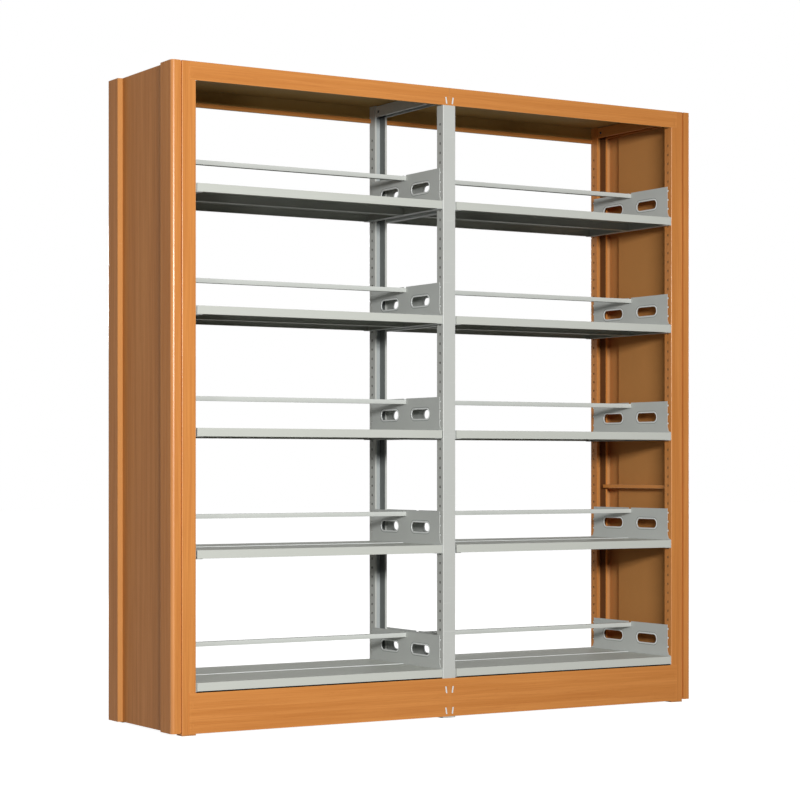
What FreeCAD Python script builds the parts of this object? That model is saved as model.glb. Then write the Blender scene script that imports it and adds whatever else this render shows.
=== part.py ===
# Double-sided library shelving: two bays long, five tiers high, shelves on both faces.
#
# Three frames of lipped steel posts carry everything. Sheet brackets hang in the hole rows of the
# posts' flanges, and folded shelf boards lie loose on the brackets' ledges.
#
# Frame of the part, in millimetres: X runs along the bays, Y from the front face to the rear
# face, Z up. The origin is on the floor at the centre of the footprint.

import FreeCAD
import Part
import os
import math
from types import SimpleNamespace

import Sketcher

DRIVING_SIZES = (
    # alias, millimetres, what it is
    ("overall_height", 1980, "floor to the top boards' upper face"),
    ("depth", 456, "front face to rear face"),
    ("bay_pitch", 907, "centre to centre of neighbouring posts"),
    ("end_step", 34, "end post's outer flange to the end panel's outer face"),
    ("sheet", 1.2, "steel of panels, boards, skirts and covers"),
    ("seam", 1, "gap where two boards or covers meet"),
    ("post_width", 46, "post's web, along X"),
    ("post_depth", 36, "post's flanges, along Y"),
    ("post_sheet", 1.5, "steel of posts, beams and brackets"),
    ("post_lip", 7, "lip on the end of each flange"),
    ("post_radius", 2.5, "bend of the post's front corners"),
    ("hole_pitch", 30, "hole to hole up the post"),
    ("hole_wide", 5.5, "hole across the flange"),
    ("hole_high", 7.5, "hole up the flange"),
    ("hole_inset", 18, "hole row behind the post's face"),
    ("lowest_hole", 156, "floor to the lowest hole's centre"),
    ("hole_margin", 110, "top boards' upper face to the end of the hole rows"),
    ("foot_plate", 3, "foot plate under each post"),
    ("foot_plug", 18, "plug that holds the foot plate in the post"),
    ("lowest_tier", 154, "floor to the lowest shelf's upper face"),
    ("board_lip", 25, "height of a shelf board's folded edges"),
    ("board_return", 12, "inward return under the folded edges"),
    ("board_gap", 3.5, "board's end to the post, filled partly by the bracket"),
    ("ledge_width", 22, "bracket's ledge under a board's end"),
    ("bracket_rise", 105, "shelf face to the bracket's upper edge"),
    ("bracket_inset", 21, "front face to the bracket's upright edge"),
    ("flare_inset", 2, "front face to the bracket's foot at shelf level"),
    ("window_length", 108, "obround window in the bracket"),
    ("window_height", 30, "obround window in the bracket"),
    ("window_centre", 94, "mid-depth to the window's centre"),
    ("window_rise", 53, "shelf face to the window's centre"),
    ("bar_rise", 101, "shelf face to the stop bar's upper face"),
    ("bar_width", 20, "stop bar across the shelf"),
    ("bar_height", 14, "stop bar's folded sides"),
    ("tongue_width", 12, "tongue at each end of the stop bar"),
    ("notch_width", 14, "notch for the tongue in the bracket's upper edge"),
    ("skirt_rise", 5, "floor to the skirt's lower edge"),
    ("skirt_height", 120, "kick skirt below the lowest shelf"),
    ("skirt_return", 15, "inward return of the skirt"),
    ("fascia_height", 55, "fascia folded down from the top board"),
    ("fascia_hem", 13, "upturned hem on the fascia's inward return"),
    ("slot_high", 21, "slanted hook slot in skirts and fascias"),
    ("slot_wide", 5, "slanted hook slot in skirts and fascias"),
    ("slot_lean", 1.6, "sideways shift of each end of the slot"),
    ("slot_inset", 12, "slot's centre from the seam"),
    ("lug_wide", 3, "lug pressed out of the post into the slot"),
    ("lug_high", 12, "lug pressed out of the post into the slot"),
    ("skirt_slot_low", 18, "skirt's lower edge to its lower slots"),
    ("skirt_slot_high", 84, "skirt's lower edge to its upper slots"),
    ("fascia_slot", 40, "top boards' upper face to the fascia's slots"),
    ("panel_rise", 8, "floor to the end panel's lower edge"),
    ("panel_recess", 15, "depth of the end panel's centre field"),
    ("band_width", 76, "raised band along the end panel's front and rear edges"),
    ("band_slope", 4, "run of the step from the band down to the recess"),
    ("panel_radius", 11, "bend of the end panel's outer corners"),
    ("panel_wrap", 29, "end panel's face round the corner, along X"),
    ("groove_depth", 8, "groove between the wrap and the post"),
    ("panel_leg", 20, "leg of the end panel along the post's flange"),
    ("beam_width", 40, "top and bottom beams across X"),
    ("beam_height", 35, "top beams"),
    ("beam_lip", 8, "in-turned lips of the beams"),
    ("top_beam_gap", 3, "top boards' upper face to the top beams"),
    ("bottom_beam_top", 100, "floor to the bottom beams' upper face"),
    ("tie_height", 12, "mid tie of the end frames"),
    ("tie_width", 20, "mid tie of the end frames"),
    ("tie_aside", 13, "mid tie's centre outwards from the end post's"),
    ("tie_top", 727, "floor to the mid tie's upper face"),
)

# hole pitches from the lowest tier up to each tier
TIER_STEPS = (0, 13, 25, 37, 49)
FACETS_PER_QUARTER = 2

BAYS = (("left", -1), ("right", 1))
FACES = (("front", -1), ("rear", 1))
POSTS = (("left", -1), ("middle", 0), ("right", 1))

UPRIGHT = FreeCAD.Vector(0, 0, 1)


class Size:
    """A length: its present number and the spreadsheet expression that it follows."""

    def __init__(self, number, text):
        self.number = number
        self.text = text

    @staticmethod
    def of(value):
        if isinstance(value, Size):
            return value
        return Size(value, f"({value})")

    def __add__(self, other):
        other = Size.of(other)
        return Size(self.number + other.number, f"({self.text} + {other.text})")

    def __sub__(self, other):
        other = Size.of(other)
        return Size(self.number - other.number, f"({self.text} - {other.text})")

    def __mul__(self, other):
        other = Size.of(other)
        return Size(self.number * other.number, f"({self.text} * {other.text})")

    def __truediv__(self, other):
        other = Size.of(other)
        return Size(self.number / other.number, f"({self.text} / {other.text})")

    def __neg__(self):
        return Size(-self.number, f"(-{self.text})")

    def __rmul__(self, other):
        return Size.of(other) * self

    def whole(self):
        return Size(math.floor(self.number), f"floor({self.text})")


def fill_sheet(document):
    """Write the driving sizes into the spreadsheet and return them as named Sizes."""
    sheet = document.addObject("Spreadsheet::Sheet", "Sizes")
    named = SimpleNamespace()
    for row, (alias, number, meaning) in enumerate(DRIVING_SIZES, start=1):
        sheet.set(f"A{row}", meaning)
        sheet.set(f"B{row}", str(number))
        sheet.setAlias(f"B{row}", alias)
        setattr(named, alias, Size(number, f"Sizes.{alias}"))
    document.recompute()
    return named


document = FreeCAD.newDocument("LibraryShelving")
size = fill_sheet(document)

# sizes that follow from the driving ones
post_face = size.depth / 2 - size.sheet
bay_clear = size.bay_pitch - size.post_width
bracket_inner = bay_clear / 2 - size.post_sheet
frame_gap = 2 * (post_face - size.post_depth)
cover_length = size.bay_pitch - size.seam
return_length = bay_clear - 2 * size.seam
board_length = bay_clear - 2 * size.board_gap
panel_face = size.bay_pitch + size.post_width / 2 + size.end_step
bracket_reach = size.depth / 2 - size.bracket_inset
bracket_foot = size.depth / 2 - size.flare_inset
top_beam_top = size.overall_height - size.top_beam_gap
hole_run = size.overall_height - size.hole_margin - size.lowest_hole
hole_count = (hole_run / size.hole_pitch).whole() + 1


def tier_height(step):
    """Floor to the upper face of the shelves that stand step hole pitches above the lowest."""
    return size.lowest_tier + size.hole_pitch * step


# --- drawing ---------------------------------------------------------------------------------


def bind(thing, path, value):
    """Tie a property to the spreadsheet."""
    thing.setExpression(path, Size.of(value).text)


def new_body(name):
    """A body whose label is the sub-part's name."""
    body = document.addObject("PartDesign::Body", name)
    body.Label = name
    return body


def place(body, x, y, z, turned=False):
    """Put a body in the frame, half a turn about Z where it faces the other way."""
    turn = 180 if turned else 0
    body.Placement = FreeCAD.Placement(FreeCAD.Vector(), FreeCAD.Rotation(UPRIGHT, turn))
    bind(body, "Placement.Base.x", x)
    bind(body, "Placement.Base.y", y)
    bind(body, "Placement.Base.z", z)


def sketch_on(body, name, plane, lift=0):
    """An empty sketch on an origin plane of the body, lifted along the plane's normal."""
    support = next(f for f in body.Origin.OriginFeatures if f.Role == plane)
    sketch = body.newObject("Sketcher::SketchObject", f"{body.Name}_{name}")
    sketch.AttachmentSupport = [(support, "")]
    sketch.MapMode = "FlatFace"
    bind(sketch, "AttachmentOffset.Base.z", lift)
    return sketch


def fix_point(sketch, geometry, point, x, y):
    """Hold one point of the sketch at sizes from its origin."""
    for kind, value in (("DistanceX", x), ("DistanceY", y)):
        value = Size.of(value)
        number = sketch.addConstraint(
            Sketcher.Constraint(kind, -1, 1, geometry, point, value.number)
        )
        sketch.setExpression(f"Constraints[{number}]", value.text)


def draw_loop(sketch, corners):
    """Draw a closed outline of straight lines through the corners."""
    first = sketch.GeometryCount
    count = len(corners)
    for index, corner in enumerate(corners):
        ends = [
            FreeCAD.Vector(Size.of(x).number, Size.of(y).number, 0)
            for x, y in (corner, corners[(index + 1) % count])
        ]
        sketch.addGeometry(Part.LineSegment(*ends))
    for index, (x, y) in enumerate(corners):
        line, next_line = first + index, first + (index + 1) % count
        sketch.addConstraint(Sketcher.Constraint("Coincident", line, 2, next_line, 1))
        fix_point(sketch, line, 1, x, y)


def arc_corners(centre_x, centre_y, radius, first, last):
    """Corners of short facets along an arc, between two directions counted in quarter turns."""
    facets = abs(last - first) * FACETS_PER_QUARTER
    corners = []
    for number in range(facets + 1):
        angle = math.pi / 2 * (first + (last - first) * number / facets)
        x = centre_x + radius * round(math.cos(angle), 6)
        y = centre_y + radius * round(math.sin(angle), 6)
        corners.append((x, y))
    return corners


def draw_rectangle(sketch, left, right, low, high):
    """Draw an upright rectangle."""
    draw_loop(sketch, ((left, low), (right, low), (right, high), (left, high)))


def draw_obround(sketch, centre_x, centre_y, length, height):
    """Draw a horizontal slot with round ends."""
    radius = height / 2
    half = length / 2 - radius
    right = arc_corners(centre_x + half, centre_y, radius, -1, 1)
    left = arc_corners(centre_x - half, centre_y, radius, 1, 3)
    draw_loop(sketch, right + left)


def pad(body, sketch, name, length, symmetric=False, reverse=False):
    """Extrude a sketch along its normal, or half each way."""
    feature = body.newObject("PartDesign::Pad", f"{body.Name}_{name}")
    feature.Profile = sketch
    feature.SideType = "Symmetric" if symmetric else "One side"
    feature.Reversed = reverse
    bind(feature, "Length", length)
    return feature


def pocket(body, sketch, name, length, symmetric=False, reverse=False):
    """Cut a sketch against its normal, or half each way."""
    feature = body.newObject("PartDesign::Pocket", f"{body.Name}_{name}")
    feature.Profile = sketch
    feature.SideType = "Symmetric" if symmetric else "One side"
    feature.Reversed = reverse
    bind(feature, "Length", length)
    return feature


def mirror(body, name, originals, plane):
    """Mirror features in an origin plane of the body."""
    feature = body.newObject("PartDesign::Mirrored", f"{body.Name}_{name}")
    support = next(f for f in body.Origin.OriginFeatures if f.Role == plane)
    feature.Originals = originals
    feature.MirrorPlane = (support, [""])
    body.Tip = feature
    return feature


def repeat_up(body, name, original, pitch, count):
    """Repeat a feature up the body's Z axis."""
    feature = body.newObject("PartDesign::LinearPattern", f"{body.Name}_{name}")
    axis = next(f for f in body.Origin.OriginFeatures if f.Role == "Z_Axis")
    feature.Originals = [original]
    feature.Direction = (axis, [""])
    feature.Mode = "Spacing"
    bind(feature, "Offset", pitch)
    bind(feature, "Occurrences", count)
    body.Tip = feature
    return feature


def round_upright_edges(body, name, base, radius, wanted):
    """Fillet the base's upright edges whose ends pass the test."""
    document.recompute()
    edges = [
        f"Edge{number}"
        for number, edge in enumerate(base.Shape.Edges, start=1)
        if abs(edge.tangentAt(edge.FirstParameter).z) > 0.999
        and all(wanted(vertex.Point) for vertex in edge.Vertexes)
    ]
    feature = body.newObject("PartDesign::Fillet", f"{body.Name}_{name}")
    feature.Base = (base, edges)
    bind(feature, "Radius", radius)
    return feature


def near(value, target):
    """Whether a coordinate lies on a size."""
    return abs(value - Size.of(target).number) < 1e-3


# --- sub-parts -------------------------------------------------------------------------------


def lipped_outline(left, right, low, high, sheet, lip):
    """Corners of an upside-down U of sheet with in-turned lips along its open side."""
    return (
        (left, low),
        (left, high),
        (right, high),
        (right, low),
        (right - lip, low),
        (right - lip, low + sheet),
        (right - sheet, low + sheet),
        (right - sheet, high - sheet),
        (left + sheet, high - sheet),
        (left + sheet, low + sheet),
        (left + lip, low + sheet),
        (left + lip, low),
    )


def slot_corners(centre_x, centre_z, lean):
    """Corners of a slanted slot whose lower end is shifted by lean."""
    half_high = size.slot_high / 2
    half_wide = size.slot_wide / 2
    low, high = centre_z - half_high, centre_z + half_high
    return (
        (centre_x + lean - half_wide, low),
        (centre_x + lean + half_wide, low),
        (centre_x - lean + half_wide, high),
        (centre_x - lean - half_wide, high),
    )


def cut_hook_slots(body, heights, depth, symmetric=False):
    """Cut slanted slots near both ends of a cover, leaning towards the seams at the bottom."""
    sketch = sketch_on(body, "slots_sketch", "XZ_Plane")
    for side in (-1, 1):
        centre = (size.bay_pitch / 2 - size.slot_inset) * side
        for height in heights:
            draw_loop(sketch, slot_corners(centre, height, size.slot_lean * side))
    return pocket(body, sketch, "slots", depth, symmetric=symmetric)


def build_post(name, place_x, face, holed_flanges, lug_sides):
    """A lipped channel post, its web outwards, with a row of holes in each flange that faces a bay."""
    body = new_body(name)
    half = size.post_width / 2
    profile = sketch_on(body, "profile", "XY_Plane")
    outline = lipped_outline(
        -half, half, Size.of(0) - size.post_depth, Size.of(0), size.post_sheet, size.post_lip
    )
    draw_loop(profile, [(x, -y) for x, y in outline])
    length = size.overall_height - size.sheet - size.foot_plate
    shaft = pad(body, profile, "shaft", length)
    corners = round_upright_edges(
        body,
        "bends",
        shaft,
        size.post_radius,
        lambda point: near(point.y, 0) and near(abs(point.x), half),
    )
    body.Tip = corners

    lugs = sketch_on(body, "lugs_sketch", "XZ_Plane")
    slot_heights = (
        size.skirt_rise + size.skirt_slot_low,
        size.skirt_rise + size.skirt_slot_high,
        size.overall_height - size.fascia_slot,
    )
    for side in lug_sides:
        centre = size.slot_inset * side
        for height in slot_heights:
            low = height - size.foot_plate - size.lug_high / 2
            draw_rectangle(
                lugs,
                centre - size.lug_wide / 2,
                centre + size.lug_wide / 2,
                low,
                low + size.lug_high,
            )
    pad(body, lugs, "lugs", size.sheet)

    hole = sketch_on(body, "hole_sketch", "YZ_Plane")
    middle = size.lowest_hole - size.foot_plate
    draw_rectangle(
        hole,
        size.hole_inset - size.hole_wide / 2,
        size.hole_inset + size.hole_wide / 2,
        middle - size.hole_high / 2,
        middle + size.hole_high / 2,
    )
    if len(holed_flanges) == 2:
        first = pocket(body, hole, "hole", 2 * size.post_width, symmetric=True)
    else:
        first = pocket(
            body, hole, "hole", size.post_width, reverse=holed_flanges[0] > 0
        )
    repeat_up(body, "hole_row", first, size.hole_pitch, hole_count)
    place(body, place_x, post_face * face, size.foot_plate, turned=face > 0)
    return body


def build_feet(name):
    """A foot plate under each post, with a plug that fills the post's lower end."""
    body = new_body(name)
    plates = sketch_on(body, "plates_sketch", "XY_Plane")
    plugs = sketch_on(body, "plugs_sketch", "XY_Plane", size.foot_plate)
    half = size.post_width / 2
    inner = half - size.post_sheet
    for _, column in POSTS:
        x = size.bay_pitch * column
        for _, face in FACES:
            ends = (post_face * face, (post_face - size.post_depth) * face)
            low, high = ends if face < 0 else reversed(ends)
            draw_rectangle(plates, x - half, x + half, low, high)
            draw_rectangle(
                plugs,
                x - inner,
                x + inner,
                low + size.post_sheet,
                high - size.post_sheet,
            )
    pad(body, plates, "plates", size.foot_plate)
    pad(body, plugs, "plugs", size.foot_plug)
    return body


def build_beams(name, columns, top, width, height, aside=0):
    """Folded beams between the front and rear posts of the frames in columns.

    Those of the end frames stand outwards from the posts' centres by aside.
    """
    body = new_body(name)
    section = sketch_on(body, "section", "XZ_Plane")
    for column in columns:
        x = (size.bay_pitch + aside) * column
        draw_loop(
            section,
            lipped_outline(
                x - width / 2,
                x + width / 2,
                top - height,
                top,
                size.post_sheet,
                size.beam_lip,
            ),
        )
    pad(body, section, "beams", frame_gap, symmetric=True)
    return body


def build_end_panel(label, side):
    """An end panel: raised bands front and rear, a recessed field, and legs on the end posts."""
    body = new_body(label)
    t = size.sheet
    face = -size.depth / 2
    band = face + size.band_width
    wall = band + size.band_slope
    groove = face + size.groove_depth
    outer = [
        (size.panel_recess, 0),
        (size.panel_recess, wall),
        (0, band),
        (0, face),
        (size.panel_wrap, face),
        (size.panel_wrap, groove),
        (size.end_step, groove),
    ]
    inner = [
        (size.end_step, groove + size.panel_leg),
        (size.end_step - t, groove + size.panel_leg),
        (size.end_step - t, groove + t),
        (size.panel_wrap - t, groove + t),
        (size.panel_wrap - t, face + t),
        (t, face + t),
        (t, band - t),
        (size.panel_recess + t, wall - t),
        (size.panel_recess + t, 0),
    ]
    height = size.overall_height - size.panel_rise
    profile = sketch_on(body, "profile", "XY_Plane")
    draw_loop(profile, outer + inner)
    skin = pad(body, profile, "skin", height)
    lid_edge = size.end_step - size.seam
    lid_outline = outer[:-1] + [(lid_edge, groove), (lid_edge, 0)]
    lids = []
    for end, lift in (("bottom", Size.of(0)), ("top", height - t)):
        sketch = sketch_on(body, f"{end}_lid_sketch", "XY_Plane", lift)
        draw_loop(sketch, lid_outline)
        lids.append(pad(body, sketch, f"{end}_lid", t))
    halves = mirror(body, "rear_half", [skin, *lids], "XZ_Plane")
    bends = halves
    for name, skin_depth in (("inner_bends", t), ("outer_bends", Size.of(0))):
        edge_y = size.depth / 2 - skin_depth
        bends = round_upright_edges(
            body,
            name,
            bends,
            size.panel_radius - skin_depth,
            lambda point: near(point.x, skin_depth) and near(abs(point.y), edge_y),
        )
    body.Tip = bends
    place(body, panel_face * side, 0, size.panel_rise, turned=side > 0)
    return body


def hemmed_return(side):
    """Corners of a fascia's inward return and the hem that turns up from it."""
    face = size.depth / 2 * side
    edge = (size.depth / 2 - size.board_return) * side
    hem = (size.depth / 2 - size.board_return + size.sheet) * side
    low = -size.fascia_height
    return (
        (face, low),
        (edge, low),
        (edge, low + size.fascia_hem),
        (hem, low + size.fascia_hem),
        (hem, low + size.sheet),
        (face, low + size.sheet),
    )


def build_top_board(name, bay):
    """A top board over one bay, folded down into a fascia on both faces."""
    body = new_body(name)
    half = size.depth / 2
    t = size.sheet
    low = -size.fascia_height
    folded = sketch_on(body, "folded", "YZ_Plane")
    draw_loop(
        folded,
        (
            (-half, low),
            (-half, 0),
            (half, 0),
            (half, low),
            (half - t, low),
            (half - t, -t),
            (-half + t, -t),
            (-half + t, low),
        ),
    )
    pad(body, folded, "cover", cover_length, symmetric=True)
    returns = sketch_on(body, "returns_sketch", "YZ_Plane")
    for side in (-1, 1):
        draw_loop(returns, hemmed_return(side))
    pad(body, returns, "returns", return_length, symmetric=True)
    cut_hook_slots(body, [-size.fascia_slot], 2 * size.depth, symmetric=True)
    place(body, size.bay_pitch / 2 * bay, 0, size.overall_height)
    return body


def build_skirt(name, bay, face):
    """A kick skirt below the lowest shelf of one bay, hung on the posts' lugs."""
    body = new_body(name)
    t = size.sheet
    high = size.skirt_height
    deep = size.skirt_return
    front = sketch_on(body, "front_sketch", "YZ_Plane")
    draw_rectangle(front, 0, t, 0, high)
    pad(body, front, "front", cover_length, symmetric=True)
    returns = sketch_on(body, "returns_sketch", "YZ_Plane")
    draw_rectangle(returns, 0, deep, 0, t)
    draw_rectangle(returns, 0, deep, high - t, high)
    pad(body, returns, "returns", return_length, symmetric=True)
    cut_hook_slots(body, [size.skirt_slot_low, size.skirt_slot_high], 2 * t)
    x = size.bay_pitch / 2 * bay
    place(body, x, size.depth / 2 * face, size.skirt_rise, turned=face > 0)
    return body


def build_brackets(name, bay, height):
    """The two brackets of one tier in one bay, hooked into the posts, with a ledge for the boards."""
    body = new_body(name)
    plate_x = -bay_clear / 2
    reach = bracket_reach
    foot = bracket_foot
    flare = foot - reach
    top = size.bracket_rise
    notch = size.notch_width / 2
    notch_floor = size.bar_rise - size.sheet
    bottom = -(size.board_lip + size.post_sheet)

    plate = sketch_on(body, "plate_sketch", "YZ_Plane", plate_x)
    draw_loop(
        plate,
        [
            (-foot, bottom),
            *arc_corners(-foot, flare, flare, -1, 0),
            (-reach, top),
            (-notch, top),
            (-notch, notch_floor),
            (notch, notch_floor),
            (notch, top),
            (reach, top),
            *arc_corners(foot, flare, flare, 2, 3),
            (foot, bottom),
        ],
    )
    wall = pad(body, plate, "plate", size.post_sheet)

    windows = sketch_on(body, "windows_sketch", "YZ_Plane", plate_x)
    for side in (-1, 1):
        draw_obround(
            windows,
            size.window_centre * side,
            size.window_rise,
            size.window_length,
            size.window_height,
        )
    openings = pocket(body, windows, "windows", size.post_sheet, reverse=True)

    shelf = sketch_on(body, "ledge_sketch", "YZ_Plane", plate_x)
    draw_rectangle(shelf, -foot, foot, bottom, bottom + size.post_sheet)
    ledge = pad(body, shelf, "ledge", size.ledge_width)

    mirror(body, "far_bracket", [wall, openings, ledge], "YZ_Plane")
    place(body, size.bay_pitch / 2 * bay, 0, height)
    return body


def build_board(name, bay, face, height):
    """A folded shelf board, loose on the ledges, its upper face at the tier's height."""
    body = new_body(name)
    t = size.sheet
    outer = -size.depth / 2
    inner = -size.seam / 2
    profile = sketch_on(body, "profile", "YZ_Plane")
    draw_loop(
        profile,
        lipped_outline(outer, inner, -size.board_lip, Size.of(0), t, size.board_return),
    )
    pad(body, profile, "pan", board_length, symmetric=True)
    end = sketch_on(body, "end_sketch", "YZ_Plane", -board_length / 2)
    draw_rectangle(end, outer, inner, -size.board_lip, 0)
    end_wall = pad(body, end, "end_wall", t)
    mirror(body, "far_end_wall", [end_wall], "YZ_Plane")
    place(body, size.bay_pitch / 2 * bay, 0, height, turned=face > 0)
    return body


def build_stop_bar(name, bay, height):
    """The bar that keeps books of the two faces apart, its tongues in the brackets' notches."""
    body = new_body(name)
    t = size.sheet
    half = size.bar_width / 2
    section = sketch_on(body, "section", "YZ_Plane")
    draw_loop(
        section,
        (
            (-half, -size.bar_height),
            (-half, 0),
            (half, 0),
            (half, -size.bar_height),
            (half - t, -size.bar_height),
            (half - t, -t),
            (-half + t, -t),
            (-half + t, -size.bar_height),
        ),
    )
    length = 2 * (bracket_inner - size.seam)
    pad(body, section, "channel", length, symmetric=True)
    tongue = sketch_on(body, "tongue_sketch", "YZ_Plane")
    draw_rectangle(tongue, -size.tongue_width / 2, size.tongue_width / 2, -t, 0)
    pad(body, tongue, "tongues", bay_clear + 2 * t, symmetric=True)
    place(body, size.bay_pitch / 2 * bay, 0, height + size.bar_rise)
    return body


# --- assembly --------------------------------------------------------------------------------


def build_frames():
    """Posts, feet, beams and ties."""
    parts = []
    for column_name, column in POSTS:
        for face_name, face in FACES:
            # a rear post is turned half a turn, which swaps its flanges
            inward = [-1, 1] if column == 0 else [column * face]
            parts.append(
                build_post(
                    f"{face_name}_post_{column_name}",
                    size.bay_pitch * column,
                    face,
                    inward,
                    inward,
                )
            )
    parts.append(build_feet("post_feet"))
    beam, high = size.beam_width, size.beam_height
    parts.append(build_beams("top_beam_middle", [0], top_beam_top, beam, high))
    parts.append(build_beams("top_beams_end", [-1, 1], top_beam_top, beam, high))
    parts.append(build_beams("bottom_beams", [-1, 0, 1], size.bottom_beam_top, beam, high))
    tie, low = size.tie_width, size.tie_height
    parts.append(build_beams("mid_ties_end", [-1, 1], size.tie_top, tie, low, size.tie_aside))
    return parts


def build_covers():
    """End panels, top boards and kick skirts."""
    parts = []
    for name, side in BAYS:
        parts.append(build_end_panel(f"end_panel_{name}", side))
        parts.append(build_top_board(f"top_board_{name}", side))
        for face_name, face in FACES:
            parts.append(build_skirt(f"{face_name}_skirt_{name}", side, face))
    return parts


def build_tiers():
    """Brackets, shelf boards and stop bars of every tier in both bays."""
    parts = []
    for tier, step in enumerate(TIER_STEPS, start=1):
        height = tier_height(step)
        for bay_name, bay in BAYS:
            label = f"tier_{tier}_{bay_name}"
            parts.append(build_brackets(f"{label}_brackets", bay, height))
            parts.append(build_stop_bar(f"{label}_stop_bar", bay, height))
            for face_name, face in FACES:
                parts.append(build_board(f"{label}_{face_name}_board", bay, face, height))
    return parts


def check(parts):
    """Stop if any object failed or any sub-part has no valid solid."""
    for thing in document.Objects:
        if "Invalid" in thing.State or "Error" in thing.State:
            raise RuntimeError(f"{thing.Name} did not build: {thing.State}")
    for body in parts:
        if body.Shape.isNull() or not body.Shape.isValid() or not body.Shape.Solids:
            raise RuntimeError(f"{body.Label} has no valid solid")


parts = build_frames() + build_covers() + build_tiers()
document.recompute()
check(parts)
os.makedirs("parts", exist_ok=True)
for body in parts:
    body.Shape.exportStep(os.path.join("parts", f"{body.Label}.step"))
    print(body.Label, len(body.Shape.Solids), round(body.Shape.Volume))
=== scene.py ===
"""Dressed look of a double sided library shelving unit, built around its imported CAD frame.

The unit is folded steel sheet in two finishes: a light grey powder coat on the middle posts,
brackets, shelf boards and stop bars, and a wood-grain print on the end posts, end panels, top boards
and kick skirts. Every CAD node of folded sheet is shown by a merged copy whose sharp folds get their
real bend radius. The brackets gain their hook tabs and the pressed rims round their windows, the
posts and beams their liners and bolts, and the cladding and boards their tongues, covers, strips and
beads.
"""

import logging
import math
from collections.abc import Callable, Iterable
from dataclasses import dataclass
from enum import Enum
from functools import partial

import bmesh
import bpy
from mathutils import Matrix, Vector

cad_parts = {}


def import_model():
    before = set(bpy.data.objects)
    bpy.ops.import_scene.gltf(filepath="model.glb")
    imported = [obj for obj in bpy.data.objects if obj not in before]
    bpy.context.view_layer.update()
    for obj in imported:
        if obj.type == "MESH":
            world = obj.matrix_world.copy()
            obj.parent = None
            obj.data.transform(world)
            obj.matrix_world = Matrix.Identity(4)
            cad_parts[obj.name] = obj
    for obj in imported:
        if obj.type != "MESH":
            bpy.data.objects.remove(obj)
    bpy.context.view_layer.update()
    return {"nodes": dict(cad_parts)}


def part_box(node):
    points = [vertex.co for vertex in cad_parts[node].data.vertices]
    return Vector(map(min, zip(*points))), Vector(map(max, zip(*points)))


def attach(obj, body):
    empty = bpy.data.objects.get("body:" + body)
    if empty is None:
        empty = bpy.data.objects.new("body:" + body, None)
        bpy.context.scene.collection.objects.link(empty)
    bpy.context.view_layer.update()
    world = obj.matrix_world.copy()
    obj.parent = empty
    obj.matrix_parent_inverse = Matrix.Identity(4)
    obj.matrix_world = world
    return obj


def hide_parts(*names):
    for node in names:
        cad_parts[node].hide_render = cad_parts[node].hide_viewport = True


LOG = logging.getLogger("library_shelving")
MM = 0.001
FRAME_BODY = "frame"
FOLD = "fold"
TIERS = 5
# CAD triangles are welded within this distance and joined into flats within this angle
WELD = 0.01 * MM
FLAT_ANGLE = math.radians(0.6)
# an edge that turns less than this shades smooth
SMOOTH_ANGLE = math.radians(38)
WHITE = (1.0, 1.0, 1.0, 1.0)


class Bay(Enum):
    """The two bays, each with the side of the middle frame that it is on."""

    LEFT = ("left", -1)
    RIGHT = ("right", 1)


class Face(Enum):
    """The two faces of the unit, each with the sign of its Y."""

    FRONT = ("front", -1)
    REAR = ("rear", 1)


class Surface(Enum):
    """The two surfaces of a coated sheet, each with its specular level and how much rougher it is."""

    # the flats are finely structured, which breaks up glancing reflections
    FLAT = (0.03, 0.12)
    # over a bend the coat is drawn smooth and catches the light
    BEND = (0.4, -0.06)


class Coat(Enum):
    """Places in the list of materials of a piece of folded sheet."""

    FLAT = 0
    BEND = 1
    INSIDE = 2
    PUNCHED = 3


class Grain(Enum):
    """Axis that the fibres of the wood print run along."""

    ALONG_BAYS = 0
    ACROSS = 1
    UP = 2

    def repeats(self, across: float, along: float) -> tuple[float, float, float]:
        """Work out how often a fibre repeats per metre on each axis.

        Args:
            across: width of a fibre in metres.
            along: length of a fibre in metres.

        Returns:
            Repeats per metre on X, Y and Z.
        """
        x, y, z = (1 / (along if axis == self.value else across) for axis in range(3))
        return x, y, z


def linear(hex_colour: str) -> tuple[float, float, float, float]:
    """Turn an sRGB hex colour into linear light at full opacity.

    Args:
        hex_colour: six hex digits.

    Returns:
        Red, green, blue and alpha, each from 0 to 1.
    """
    encoded = [int(hex_colour[i : i + 2], 16) / 255 for i in (0, 2, 4)]
    red, green, blue = (c / 12.92 if c <= 0.04045 else ((c + 0.055) / 1.055) ** 2.4 for c in encoded)
    return red, green, blue, 1.0


def add_node(
    tree: bpy.types.NodeTree,
    kind: str,
    inputs: dict[str | int, object] | None = None,
    **settings: object,
) -> bpy.types.Node:
    """Add one node with its settings and links.

    Args:
        tree: node tree that takes the node.
        kind: the node's type name.
        inputs: by input socket, either the output socket that feeds it or the value that it holds.
        settings: values of the node's own attributes.

    Returns:
        The new node.
    """
    node = tree.nodes.new(kind)
    for name, value in settings.items():
        setattr(node, name, value)
    for socket, value in (inputs or {}).items():
        if isinstance(value, bpy.types.NodeSocket):
            tree.links.new(value, node.inputs[socket])
        else:
            node.inputs[socket].default_value = value
    return node


def new_material(name: str) -> tuple[bpy.types.Material, bpy.types.NodeTree]:
    """Start a material with an empty node tree.

    Args:
        name: the material's name.

    Returns:
        The material and its node tree.
    """
    material = bpy.data.materials.new(name)
    material.use_nodes = True
    material.node_tree.nodes.clear()
    return material, material.node_tree


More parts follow.
